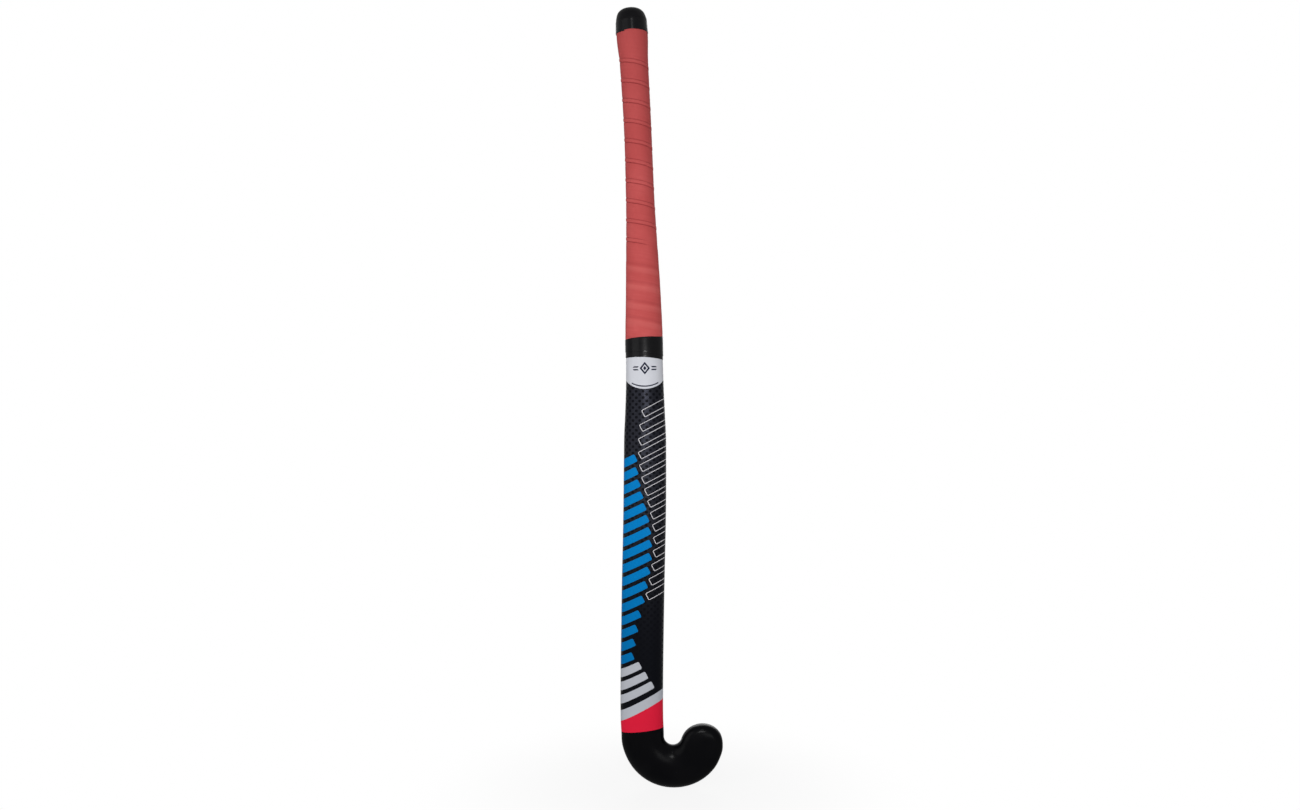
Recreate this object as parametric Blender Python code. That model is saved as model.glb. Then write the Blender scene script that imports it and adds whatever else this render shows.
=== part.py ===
"""Field style street hockey stick, built from the pieces that the real one is made of.

Metres. +Z runs up the stick, +X from the shaft towards the toe of the hook, +Y out of the flat face.
Heights count from the heel, the lowest point of the hook. The finished stick is then moved as one piece,
so that the world origin is in the middle of the hand grip.
"""
import math

import bmesh
import bpy
import numpy as np
from mathutils import Matrix, Vector

MM = 0.001

# Head
NOTCH_RADIUS = 9.9 * MM
HEAD_HALF_WIDTH = 23.5 * MM
HEAD_BACK_DEPTH = 12.5 * MM
HEAD_FACE_DEPTH = 8.0 * MM
HEAD_FACE_CORNER = 4.5 * MM
HEAD_SET_TO_TOE = 1.0 * MM
HOOK_SWEEP = math.radians(162.0)
NECK_LENGTH = 6.8 * MM

# Lengths up the stick
PRINT_LENGTH = 411.5 * MM
GRIP_LENGTH = 354.3 * MM
CAP_HEIGHT = 15.6 * MM

# Bow of the shaft, away from the playing face
BOW_DEPTH = 14.0 * MM
BOW_START_ABOVE_PRINT_EDGE = 15.0 * MM
BOW_END_ABOVE_GRIP_EDGE = 100.0 * MM

# Layers
SEAT_GAP = 0.3 * MM
SLEEVE_THICKNESS = 0.8 * MM
FILM_THICKNESS = 0.4 * MM
GRIP_THICKNESS = 1.9 * MM
TAPE_THICKNESS = 0.4 * MM

# Grip winding
GRIP_PITCH = 22.1 * MM
GRIP_LEAD_IN = 22.4 * MM
GRIP_TURN_GAP = 0.5 * MM
GRIP_RIB_WIDTH = 4.4 * MM
GRIP_CREASE_DEPTH = 0.5 * MM
GRIP_EDGE_ROUND = 0.9 * MM
GRIP_LEAST_END = 1.5 * MM
PLAIN_TURNS_LENGTH = 106.0 * MM
PLAIN_TURNS_CREASE = 0.25

# Finishing tapes
LOWER_TAPE_WIDTH = 17.5 * MM
LOWER_TAPE_LIP = 2.6 * MM
LOWER_TAPE_LIP_END = 1.1
LOWER_TAPE_RISE_PER_TURN = 6.5 * MM
LOWER_TAPE_TURNS = 1.85
UPPER_TAPE_WIDTH = 11.0 * MM
UPPER_TAPE_DROP = 2.6 * MM
UPPER_TAPE_TURNS = 1.22
UPPER_TAPE_END_STEPS = 2
TAPE_LAYER_GAP = 0.45 * MM
TAPE_CLIMB_START = 0.86
TAPE_CLIMB_END = 0.96

# Splice between the handle and the head
SPLICE_START_ABOVE_PRINT_EDGE = 95.0 * MM
SPLICE_LENGTH = 170.0 * MM
TONGUE_TIP_HALF_WIDTH = 3.0 * MM
PRONG_END_THICKNESS = 1.8 * MM

# Damping strips
STRIP_THICKNESS = 1.8 * MM
STRIP_SPACING = 9.0 * MM
STRIP_START_ABOVE_GRIP_EDGE = 85.0 * MM
STRIP_END_BELOW_SPIGOT = 30.0 * MM

# End plug
SPIGOT_RADIUS = 4.5 * MM
SPIGOT_LENGTH = 18.0 * MM
SPIGOT_ROOT_SHARE = 1 / 3
CAP_OVERHANG = 0.6 * MM
CAP_SQUARENESS = 2.5

# Fineness of the facets
BACK_STEPS = 12
CORNER_STEPS = 4
HOOK_STEPS = 18
TOE_STEPS = 12
CAP_STEPS = 6
SHAFT_RING_STEP = 30.0 * MM
HANDLE_RING_STEP = 16.0 * MM
RING_LEAST_STEP = 2.0 * MM
ROUND_SIDES = 20
GAP_SIDE_STEPS = 12
GAP_ASIDE_STEPS = 2
LEAN_STEP = 0.5 * MM
SHARP_ANGLE = math.radians(35.0)

# Reach of the cutters past the stick
CUTTER_REACH = 60.0 * MM

# Heights that follow from the sizes above
HOOK_RADIUS = NOTCH_RADIUS + HEAD_HALF_WIDTH
BEND_HEIGHT = HOOK_RADIUS + HEAD_HALF_WIDTH
PRINT_LOW = BEND_HEIGHT + NECK_LENGTH
PRINT_HIGH = PRINT_LOW + PRINT_LENGTH
SLEEVE_HIGH = PRINT_HIGH + LOWER_TAPE_WIDTH
GRIP_LOW = SLEEVE_HIGH + SEAT_GAP
GRIP_HIGH = GRIP_LOW + GRIP_LENGTH
WOOD_HIGH = GRIP_HIGH + SEAT_GAP
CAP_LOW = WOOD_HIGH + SEAT_GAP
SHAFT_INSET = FILM_THICKNESS + SEAT_GAP + SLEEVE_THICKNESS + SEAT_GAP
HANDLE_INSET = GRIP_THICKNESS + SEAT_GAP
TAPE_LAYER_STEP = TAPE_THICKNESS + TAPE_LAYER_GAP


def print_at(share):
    """Height of a share of the printed length."""
    return PRINT_LOW + share * PRINT_LENGTH


def grip_at(share):
    """Height of a share of the grip's length."""
    return GRIP_LOW + share * GRIP_LENGTH


# Outer form of the dressed stick: height, centre along X, half width, back depth, face depth, face corner
STATIONS = (
    (BEND_HEIGHT, HEAD_SET_TO_TOE, HEAD_HALF_WIDTH, HEAD_BACK_DEPTH, HEAD_FACE_DEPTH, HEAD_FACE_CORNER),
    (print_at(0.03), 0.2 * MM, 23.6 * MM, 12.5 * MM, 8.0 * MM, 4.5 * MM),
    (print_at(0.08), 0.0 * MM, 23.6 * MM, 12.5 * MM, 8.1 * MM, 5.0 * MM),
    (print_at(0.35), 1.3 * MM, 23.5 * MM, 12.6 * MM, 8.6 * MM, 6.0 * MM),
    (print_at(0.62), 3.4 * MM, 23.4 * MM, 12.8 * MM, 9.2 * MM, 7.5 * MM),
    (print_at(0.78), 3.75 * MM, 23.1 * MM, 13.0 * MM, 10.0 * MM, 9.0 * MM),
    (print_at(0.85), 3.7 * MM, 21.9 * MM, 13.2 * MM, 10.6 * MM, 10.5 * MM),
    (print_at(0.93), 3.4 * MM, 20.7 * MM, 13.6 * MM, 11.4 * MM, 12.0 * MM),
    (PRINT_HIGH, 2.9 * MM, 20.25 * MM, 14.2 * MM, 12.2 * MM, 13.5 * MM),
    (GRIP_LOW, 2.6 * MM, 20.25 * MM, 14.5 * MM, 12.6 * MM, 14.0 * MM),
    (grip_at(0.13), 1.8 * MM, 19.1 * MM, 15.0 * MM, 13.4 * MM, 13.8 * MM),
    (grip_at(0.32), -0.2 * MM, 16.95 * MM, 14.9 * MM, 13.8 * MM, 12.6 * MM),
    (grip_at(0.45), -1.8 * MM, 15.6 * MM, 14.6 * MM, 13.9 * MM, 11.6 * MM),
    (grip_at(0.65), -4.3 * MM, 15.05 * MM, 14.4 * MM, 13.9 * MM, 11.1 * MM),
    (grip_at(0.87), -8.6 * MM, 15.6 * MM, 14.8 * MM, 14.3 * MM, 11.5 * MM),
    (grip_at(0.955), -10.6 * MM, 17.2 * MM, 16.1 * MM, 15.6 * MM, 13.0 * MM),
    (GRIP_HIGH, -11.4 * MM, 16.6 * MM, 15.7 * MM, 15.2 * MM, 12.5 * MM),
    (CAP_LOW + CAP_HEIGHT, -12.6 * MM, 16.4 * MM, 15.6 * MM, 15.1 * MM, 12.3 * MM),
)


def slopes_of(heights, values):
    """Slopes that carry a smooth curve through the stations without overshoot."""
    steps = [(values[i + 1] - values[i]) / (heights[i + 1] - heights[i]) for i in range(len(values) - 1)]
    slopes = [0.0]
    for before, after in zip(steps, steps[1:]):
        level = before * after <= 0.0
        slopes.append(0.0 if level else 2.0 * before * after / (before + after))
    slopes.append(steps[-1])
    return slopes


STATION_HEIGHTS = [row[0] for row in STATIONS]
STATION_COLUMNS = [[row[i] for row in STATIONS] for i in range(1, len(STATIONS[0]))]
STATION_SLOPES = [slopes_of(STATION_HEIGHTS, column) for column in STATION_COLUMNS]


def station_value(column, height):
    """One column of the station table, read off its smooth curve at any height."""
    heights, values, slopes = STATION_HEIGHTS, STATION_COLUMNS[column], STATION_SLOPES[column]
    height = min(max(height, heights[0]), heights[-1])
    i = max(k for k in range(len(heights) - 1) if heights[k] <= height)
    span = heights[i + 1] - heights[i]
    t = (height - heights[i]) / span
    rise = values[i + 1] - values[i]
    start, end = slopes[i] * span, slopes[i + 1] * span
    return values[i] + t * (start + t * (3 * rise - 2 * start - end + t * (start + end - 2 * rise)))


def bow_at(height):
    """How far the shaft stands away from the playing face at a height."""
    low = PRINT_LOW + BOW_START_ABOVE_PRINT_EDGE
    high = GRIP_LOW + BOW_END_ABOVE_GRIP_EDGE
    share = min(max((height - low) / (high - low), 0.0), 1.0)
    return -BOW_DEPTH * math.sin(math.pi * share) ** 2


def outline(half_width, back, face, corner):
    """D section as (across, out) points: round back, rounded corners and one flat on the face."""
    points = []
    for i in range(BACK_STEPS + 1):
        angle = math.pi * i / BACK_STEPS
        points.append((-half_width * math.cos(angle), -back * math.sin(angle)))
    flat = half_width - corner
    for i in range(1, CORNER_STEPS + 1):
        angle = math.pi / 2 * i / CORNER_STEPS
        points.append((flat + corner * math.cos(angle), face * math.sin(angle)))
    for i in range(CORNER_STEPS, 0, -1):
        angle = math.pi / 2 * i / CORNER_STEPS
        points.append((-flat - corner * math.cos(angle), face * math.sin(angle)))
    return points


COLUMNS = BACK_STEPS + 1 + 2 * CORNER_STEPS
CREST_COLUMN = BACK_STEPS // 2
FLAT_RIGHT_COLUMN = BACK_STEPS + CORNER_STEPS
FLAT_LEFT_COLUMN = FLAT_RIGHT_COLUMN + 1


def section_at(height, offset):
    """Outline of the dressed stick at a height, moved out by an offset."""
    half_width, back, face, corner = (station_value(i, height) for i in range(1, 5))
    return outline(half_width + offset, back + offset, face + offset, corner + offset)


def frame_at(height):
    """Centre of the stick and its directions across and along at a height."""
    centre = Vector((station_value(0, height), bow_at(height), height))
    rise = station_value(0, height + LEAN_STEP) - station_value(0, height - LEAN_STEP)
    lean = rise / (2 * LEAN_STEP)
    along = Vector((lean, 0.0, 1.0)).normalized()
    across = Vector((along.z, 0.0, -along.x))
    return centre, across, along


def ring_at(height, offset):
    """Ring of points round the stick at a height."""
    centre, across, _ = frame_at(height)
    return [centre + across * u + Vector((0.0, v, 0.0)) for u, v in section_at(height, offset)]


def surface_point(height, column, offset):
    """One point of the ring at a height."""
    centre, across, _ = frame_at(height)
    u, v = section_at(height, offset)[column]
    return centre + across * u + Vector((0.0, v, 0.0))


def hook_ring(angle):
    """Ring of points round the hook, at an angle about the hook's centre counted from the shaft."""
    radial = Vector((-math.cos(angle), 0.0, -math.sin(angle)))
    hook_centre = Vector((HEAD_SET_TO_TOE + HOOK_RADIUS, 0.0, BEND_HEIGHT))
    centre = hook_centre + radial * HOOK_RADIUS
    section = outline(HEAD_HALF_WIDTH, HEAD_BACK_DEPTH, HEAD_FACE_DEPTH, HEAD_FACE_CORNER)
    return centre, [centre - radial * u + Vector((0.0, v, 0.0)) for u, v in section]


def ring_heights(low, high):
    """Heights of rings from low to high, on steps that all layers share."""
    heights = []
    spans = ((PRINT_LOW, GRIP_LOW, SHAFT_RING_STEP), (GRIP_LOW, WOOD_HIGH, HANDLE_RING_STEP))
    for start, end, step in spans:
        count = math.ceil((end - start) / step)
        heights += [start + (end - start) * i / count for i in range(count)]
    inner = [height for height in heights if low + RING_LEAST_STEP < height < high - RING_LEAST_STEP]
    return [low] + inner + [high]


def add_ring(mesh, points):
    return [mesh.verts.new(point) for point in points]


def bridge(mesh, lower, upper):
    """Faces between two rings of equal length."""
    count = len(lower)
    for i in range(count):
        j = (i + 1) % count
        mesh.faces.new((lower[i], lower[j], upper[j], upper[i]))


def mesh_data(mesh, name):
    """Turn a bmesh into mesh data with its faces pointing out and its round sides smooth."""
    bmesh.ops.recalc_face_normals(mesh, faces=mesh.faces)
    data = bpy.data.meshes.new(name)
    mesh.to_mesh(data)
    mesh.free()
    data.shade_smooth()
    data.set_sharp_from_angle(angle=SHARP_ANGLE)
    return data


def material(name, colour, roughness, metallic=0.0):
    made = bpy.data.materials.new(name)
    made.use_nodes = True
    shader = made.node_tree.nodes["Principled BSDF"]
    shader.inputs["Base Color"].default_value = (*colour, 1.0)
    shader.inputs["Roughness"].default_value = roughness
    shader.inputs["Metallic"].default_value = metallic
    return made


def add_part(name, data, look):
    """Add a sub-part to the stick's collection, under its frame."""
    part = bpy.data.objects.new(name, data)
    bpy.data.collections["street_hockey_stick"].objects.link(part)
    part.parent = bpy.data.objects["stick_frame"]
    if data.users > 1:
        part.data = data.copy()
    part.data.materials.clear()
    part.data.materials.append(look)
    return part


def add_cutter(name, data):
    """Add a hidden solid that cuts or joins others."""
    cutter = bpy.data.objects.new(name, data)
    bpy.data.collections["cutters"].objects.link(cutter)
    cutter.parent = bpy.data.objects["stick_frame"]
    cutter.hide_render = True
    cutter.display_type = "WIRE"
    return cutter


def combine(part, operation, cutter):
    modifier = part.modifiers.new(cutter.name, "BOOLEAN")
    modifier.operation = operation
    modifier.solver = "EXACT"
    modifier.object = cutter


def add_toe(mesh, centre, ring):
    """Close the hook with a half turn of its own section about the toe's centre."""
    outer = list(range(CREST_COLUMN, -1, -1)) + list(range(COLUMNS - 1, FLAT_RIGHT_COLUMN, -1))
    inner = list(range(CREST_COLUMN, FLAT_LEFT_COLUMN))
    spin_axis = Vector((0.0, 1.0, 0.0))
    lines = [[ring[i] for i in outer]]
    for step in range(1, TOE_STEPS):
        turn = Matrix.Rotation(-math.pi * step / TOE_STEPS, 3, spin_axis)
        points = [centre + turn @ (ring[i].co - centre) for i in outer[1:]]
        lines.append([ring[CREST_COLUMN]] + add_ring(mesh, points))
    lines.append([ring[i] for i in inner])
    for line, following in zip(lines, lines[1:]):
        mesh.faces.new((line[0], line[1], following[1]))
        for i in range(1, len(line) - 1):
            mesh.faces.new((line[i], line[i + 1], following[i + 1], following[i]))
    mesh.faces.new([line[-1] for line in lines])


def make_blank():
    """The whole wooden form from toe to butt, before it is split into head and handle."""
    mesh = bmesh.new()
    rings = []
    for step in range(HOOK_STEPS, 0, -1):
        centre, points = hook_ring(HOOK_SWEEP * step / HOOK_STEPS)
        rings.append(add_ring(mesh, points))
        if step == HOOK_STEPS:
            add_toe(mesh, centre, rings[0])
    rings.append(add_ring(mesh, ring_at(BEND_HEIGHT, 0.0)))
    rings.append(add_ring(mesh, ring_at(PRINT_LOW, 0.0)))
    for height in ring_heights(PRINT_LOW, SLEEVE_HIGH):
        rings.append(add_ring(mesh, ring_at(height, -SHAFT_INSET)))
    for height in ring_heights(GRIP_LOW, WOOD_HIGH):
        rings.append(add_ring(mesh, ring_at(height, -HANDLE_INSET)))
    for lower, upper in zip(rings, rings[1:]):
        bridge(mesh, lower, upper)
    mesh.faces.new(rings[-1])
    return mesh_data(mesh, "wooden_blank")


def make_shell(name, low, high, inner_offset, outer_offset):
    """A thin layer round the stick, open at both ends."""
    mesh = bmesh.new()
    heights = ring_heights(low, high)
    outer = [add_ring(mesh, ring_at(height, outer_offset)) for height in heights]
    inner = [add_ring(mesh, ring_at(height, inner_offset)) for height in heights]
    loop = outer + inner[::-1]
    for lower, upper in zip(loop, loop[1:] + loop[:1]):
        bridge(mesh, lower, upper)
    return mesh_data(mesh, name)


def make_prism(name, points):
    """A solid with an outline in the XZ plane, deeper than the stick on both sides."""
    mesh = bmesh.new()
    near = add_ring(mesh, [Vector((x, -CUTTER_REACH, z)) for x, z in points])
    far = add_ring(mesh, [Vector((x, CUTTER_REACH, z)) for x, z in points])
    bridge(mesh, near, far)
    mesh.faces.new(near)
    mesh.faces.new(far)
    return mesh_data(mesh, name)


def tongue_outline(grow):
    """Outline of the handle's side of the splice: a V tongue with the handle's shoulders above it."""
    tip = PRINT_LOW + SPLICE_START_ABOVE_PRINT_EDGE
    shoulder = tip + SPLICE_LENGTH
    tip_x, shoulder_x = station_value(0, tip), station_value(0, shoulder)
    tip_half = TONGUE_TIP_HALF_WIDTH + grow
    shoulder_half = station_value(1, shoulder) - SHAFT_INSET - PRONG_END_THICKNESS + grow
    top = WOOD_HIGH + CUTTER_REACH
    return [
        (tip_x - tip_half, tip - grow), (tip_x + tip_half, tip - grow),
        (shoulder_x + shoulder_half, shoulder - grow), (CUTTER_REACH, shoulder - grow),
        (CUTTER_REACH, top), (-CUTTER_REACH, top),
        (-CUTTER_REACH, shoulder - grow), (shoulder_x - shoulder_half, shoulder - grow),
    ]


def make_slab(name, side, thickness, low, high):
    """A box across the handle at a damping strip's place."""
    mesh = bmesh.new()
    bmesh.ops.create_cube(mesh, size=1.0)
    place = Vector((0.0, side * STRIP_SPACING / 2, (low + high) / 2))
    size = Matrix.Diagonal((2 * CUTTER_REACH, thickness, high - low, 1.0))
    bmesh.ops.transform(mesh, matrix=Matrix.Translation(place) @ size, verts=mesh.verts)
    return mesh_data(mesh, name)


def make_rod(name, radius, low, high):
    """A round rod on the axis of the butt."""
    base, across, along = frame_at(WOOD_HIGH)
    mesh = bmesh.new()
    bmesh.ops.create_cone(mesh, cap_ends=True, segments=ROUND_SIDES,
                          radius1=radius, radius2=radius, depth=high - low)
    turn = Matrix((across, Vector((0.0, 1.0, 0.0)), along)).transposed().to_4x4()
    place = base + along * ((low + high) / 2)
    bmesh.ops.transform(mesh, matrix=Matrix.Translation(place) @ turn, verts=mesh.verts)
    return mesh_data(mesh, name)


def sweep(name, sections):
    """A closed body through a row of sections of equal length."""
    mesh = bmesh.new()
    rings = [add_ring(mesh, points) for points in sections]
    for lower, upper in zip(rings, rings[1:]):
        bridge(mesh, lower, upper)
    mesh.faces.new(rings[0])
    mesh.faces.new(rings[-1])
    return mesh_data(mesh, name)


def perimeter_shares():
    """For each column, the share of the way round the handle from the left edge."""
    points = [Vector(point) for point in section_at(grip_at(0.5), 0.0)]
    lengths = [(points[(i + 1) % COLUMNS] - points[i]).length for i in range(COLUMNS)]
    return [sum(lengths[:i]) / sum(lengths) for i in range(COLUMNS)]


def grip_profile(width, crease):
    """Section of the grip tape as (down, out) points: body, crease and rib on a flat underside."""
    body_end = width - GRIP_RIB_WIDTH
    round_off = GRIP_EDGE_ROUND
    return [
        (0.0, -GRIP_THICKNESS), (0.0, -crease), (round_off, 0.0),
        (body_end - round_off, 0.0), (body_end, -crease), (body_end + round_off, 0.0),
        (width - round_off, 0.0), (width, -crease), (width, -GRIP_THICKNESS), (width / 2, -GRIP_THICKNESS),
    ]


def grip_sections():
    """Sections of the grip tape, wound down the handle from the butt."""
    shares = perimeter_shares()
    full_width = GRIP_PITCH - GRIP_TURN_GAP
    sections = []
    step = 0
    while True:
        turns = step // COLUMNS + shares[step % COLUMNS]
        upper_edge = GRIP_HIGH + GRIP_LEAD_IN - GRIP_PITCH * turns
        if upper_edge < GRIP_LOW + GRIP_LEAST_END:
            return sections
        high = min(upper_edge, GRIP_HIGH)
        low = max(upper_edge - full_width, GRIP_LOW)
        if high - low > GRIP_LEAST_END:
            plain = high < GRIP_LOW + PLAIN_TURNS_LENGTH
            crease = GRIP_CREASE_DEPTH * (PLAIN_TURNS_CREASE if plain else 1.0)
            squeeze = (high - low) / full_width
            column = step % COLUMNS
            profile = grip_profile(full_width, crease)
            sections.append([surface_point(high - down * squeeze, column, out) for down, out in profile])
        step += 1


def print_least_gap(name, sections):
    """Measure a winding against its own next turn, on points all round its section."""
    shares = np.arange(GAP_SIDE_STEPS)[:, None, None] / GAP_SIDE_STEPS
    rows = []
    for section in sections:
        corners = np.array(section)
        following = np.roll(corners, -1, axis=0)
        rows.append((corners + (following - corners) * shares).reshape(-1, 3))
    rows = np.array(rows)
    gaps = []
    for ahead in range(COLUMNS - GAP_ASIDE_STEPS, COLUMNS + GAP_ASIDE_STEPS + 1):
        for here, there in zip(rows, rows[ahead:]):
            gaps.append(np.linalg.norm(here[:, None] - there[None, :], axis=2).min())
    print(f"{name}: least gap to itself {min(gaps) / MM:.2f} mm")


def eased(value, start, end):
    """Smooth step from 0 at start to 1 at end."""
    t = min(max((value - start) / (end - start), 0.0), 1.0)
    return t * t * (3.0 - 2.0 * t)


def tape_section(low, high, column, inner_offset):
    """Section of a finishing tape that lies on the stick."""
    middle = (low + high) / 2
    outer_offset = inner_offset + TAPE_THICKNESS
    heights = ((low, inner_offset), (low, outer_offset), (middle, outer_offset),
               (high, outer_offset), (high, inner_offset), (middle, inner_offset))
    return [surface_point(height, column, offset) for height, offset in heights]


def wound_columns(turns, first_column):
    """Steps round the stick for a tape, as (turns so far, column)."""
    count = round(turns * COLUMNS)
    return [(step / COLUMNS, (first_column + step) % COLUMNS) for step in range(count + 1)]


def layers_below(turns):
    """How far a tape has climbed onto its own first layer, which it does before its first full turn."""
    return eased(turns, TAPE_CLIMB_START, TAPE_CLIMB_END)


def lower_tape_sections():
    """First turn on the glass sleeve, then a rising one on the first and on the end of the grip."""
    sections = []
    for turns, column in wound_columns(LOWER_TAPE_TURNS, FLAT_LEFT_COLUMN):
        lip = LOWER_TAPE_LIP * eased(turns, TAPE_CLIMB_END, LOWER_TAPE_LIP_END)
        low = PRINT_HIGH + lip + LOWER_TAPE_RISE_PER_TURN * max(turns - LOWER_TAPE_LIP_END, 0.0)
        offset = TAPE_LAYER_STEP * layers_below(turns) - FILM_THICKNESS
        sections.append(tape_section(low, low + LOWER_TAPE_WIDTH, column, offset))
    return sections


def upper_tape_sections():
    """One turn over the end of the grip, with its cut end lying lower on the back."""
    sections = []
    end_column = CREST_COLUMN - UPPER_TAPE_END_STEPS
    first_column = (end_column - round(UPPER_TAPE_TURNS * COLUMNS)) % COLUMNS
    for turns, column in wound_columns(UPPER_TAPE_TURNS, first_column):
        drop = UPPER_TAPE_DROP * eased(turns, TAPE_CLIMB_END, UPPER_TAPE_TURNS)
        low = GRIP_HIGH - UPPER_TAPE_WIDTH - drop
        offset = TAPE_LAYER_STEP * layers_below(turns) + SEAT_GAP
        sections.append(tape_section(low, low + UPPER_TAPE_WIDTH, column, offset))
    return sections


def make_cap():
    """Domed plug head: shrinking rings up the axis of the butt, flat underneath."""
    base, across, along = frame_at(CAP_LOW)
    half_width, back, face, corner = (station_value(i, CAP_LOW) + CAP_OVERHANG for i in range(1, 5))
    mesh = bmesh.new()
    rings = []
    for step in range(CAP_STEPS):
        angle = math.pi / 2 * step / CAP_STEPS
        scale = math.cos(angle) ** (2.0 / CAP_SQUARENESS)
        centre = base + along * (CAP_HEIGHT * math.sin(angle) ** (2.0 / CAP_SQUARENESS))
        section = outline(half_width * scale, back * scale, face * scale, corner * scale)
        rings.append(add_ring(mesh, [centre + across * u + Vector((0.0, v, 0.0)) for u, v in section]))
    for lower, upper in zip(rings, rings[1:]):
        bridge(mesh, lower, upper)
    top = mesh.verts.new(base + along * CAP_HEIGHT)
    last = rings[-1]
    for i in range(COLUMNS):
        mesh.faces.new((last[i], last[(i + 1) % COLUMNS], top))
    mesh.faces.new(rings[0])
    return mesh_data(mesh, "cap_dome")


def clear_scene():
    for old in list(bpy.data.objects):
        bpy.data.objects.remove(old)


def add_frame():
    """Collections, and the empty that puts the origin in the middle of the hand grip."""
    for name in ("street_hockey_stick", "cutters"):
        bpy.context.scene.collection.children.link(bpy.data.collections.new(name))
    frame = bpy.data.objects.new("stick_frame", None)
    bpy.data.collections["street_hockey_stick"].objects.link(frame)
    centre, _, _ = frame_at(grip_at(0.5))
    frame.location = -centre


def build_wood():
    """Head and handle, split from one blank along the splice."""
    blank = make_blank()
    tongue = add_cutter("tongue_region", make_prism("tongue_region", tongue_outline(0.0)))
    socket = add_cutter("socket_region", make_prism("socket_region", tongue_outline(SEAT_GAP)))
    bore = add_cutter("spigot_bore", make_rod("spigot_bore", SPIGOT_RADIUS + SEAT_GAP,
                                              -SPIGOT_LENGTH - SEAT_GAP, CAP_HEIGHT))
    head = add_part("head", blank.copy(), material("black_lacquer", (0.012, 0.012, 0.014), 0.35))
    combine(head, "DIFFERENCE", socket)
    handle = add_part("handle_core", blank.copy(), material("cane_wood", (0.62, 0.45, 0.26), 0.6))
    combine(handle, "INTERSECT", tongue)
    combine(handle, "DIFFERENCE", bore)
    rubber = material("damping_rubber", (0.03, 0.03, 0.03), 0.8)
    low = GRIP_LOW + STRIP_START_ABOVE_GRIP_EDGE
    high = WOOD_HIGH - SPIGOT_LENGTH - STRIP_END_BELOW_SPIGOT
    for name, side in (("rubber_strip_back", -1), ("rubber_strip_face", 1)):
        kerf = add_cutter(name + "_kerf", make_slab(name + "_kerf", side, STRIP_THICKNESS + 2 * SEAT_GAP,
                                                    low - SEAT_GAP, high + SEAT_GAP))
        combine(handle, "DIFFERENCE", kerf)
        slab = add_cutter(name + "_slab", make_slab(name + "_slab", side, STRIP_THICKNESS, low, high))
        strip = add_part(name, blank.copy(), rubber)
        combine(strip, "INTERSECT", slab)


def build_layers():
    """Glass sleeve and printed film on the shaft."""
    film_offset = -FILM_THICKNESS
    sleeve_outer = film_offset - SEAT_GAP
    sleeve_inner = sleeve_outer - SLEEVE_THICKNESS
    sleeve = make_shell("glass_sleeve", PRINT_LOW + SEAT_GAP, SLEEVE_HIGH, sleeve_inner, sleeve_outer)
    add_part("glass_sleeve", sleeve, material("glass_fibre", (0.55, 0.56, 0.5), 0.45))
    film = make_shell("print_film", PRINT_LOW + SEAT_GAP, PRINT_HIGH - SEAT_GAP, film_offset, 0.0)
    add_part("print_film", film, material("printed_film", (0.02, 0.05, 0.11), 0.3))


def build_windings():
    """Grip tape and the two finishing tapes."""
    red = material("red_cushion", (0.45, 0.07, 0.07), 0.6)
    black = material("finishing_tape", (0.015, 0.015, 0.017), 0.4)
    windings = (
        ("grip_wrap", grip_sections(), red),
        ("lower_tape", lower_tape_sections(), black),
        ("upper_tape", upper_tape_sections(), black),
    )
    for name, sections, look in windings:
        print_least_gap(name, sections)
        add_part(name, sweep(name, sections), look)


def build_cap():
    """End plug: the dome with its spigot in the handle's bore."""
    spigot = add_cutter("cap_spigot", make_rod("cap_spigot", SPIGOT_RADIUS, -SPIGOT_LENGTH,
                                              CAP_HEIGHT * SPIGOT_ROOT_SHARE))
    cap = add_part("end_cap", make_cap(), material("cap_rubber", (0.012, 0.012, 0.013), 0.45))
    combine(cap, "UNION", spigot)


def main():
    clear_scene()
    add_frame()
    build_wood()
    build_layers()
    build_windings()
    build_cap()


main()
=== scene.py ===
"""Looks of the street hockey stick: fine surfaces, print, grip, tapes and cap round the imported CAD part."""
import math

import bmesh
import bpy
import numpy as np
from mathutils import Matrix, Vector


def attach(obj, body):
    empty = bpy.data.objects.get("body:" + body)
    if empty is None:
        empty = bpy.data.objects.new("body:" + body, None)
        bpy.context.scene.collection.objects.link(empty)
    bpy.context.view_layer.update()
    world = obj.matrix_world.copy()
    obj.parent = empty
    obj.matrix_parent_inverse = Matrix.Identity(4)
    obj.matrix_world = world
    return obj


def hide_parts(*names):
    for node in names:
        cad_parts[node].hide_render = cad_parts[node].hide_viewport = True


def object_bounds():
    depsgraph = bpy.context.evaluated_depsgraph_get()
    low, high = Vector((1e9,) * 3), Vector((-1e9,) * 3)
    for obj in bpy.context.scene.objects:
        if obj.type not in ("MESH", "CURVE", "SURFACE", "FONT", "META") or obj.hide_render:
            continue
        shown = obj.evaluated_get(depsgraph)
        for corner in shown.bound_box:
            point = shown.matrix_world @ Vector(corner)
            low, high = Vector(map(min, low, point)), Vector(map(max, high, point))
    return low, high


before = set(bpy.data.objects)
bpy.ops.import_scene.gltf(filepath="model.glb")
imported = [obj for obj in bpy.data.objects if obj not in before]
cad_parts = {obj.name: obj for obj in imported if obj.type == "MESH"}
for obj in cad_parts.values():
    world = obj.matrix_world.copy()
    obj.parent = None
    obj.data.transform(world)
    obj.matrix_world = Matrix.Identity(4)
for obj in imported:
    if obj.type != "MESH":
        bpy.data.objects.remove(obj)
cad_low, cad_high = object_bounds()

MM = 0.001

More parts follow.
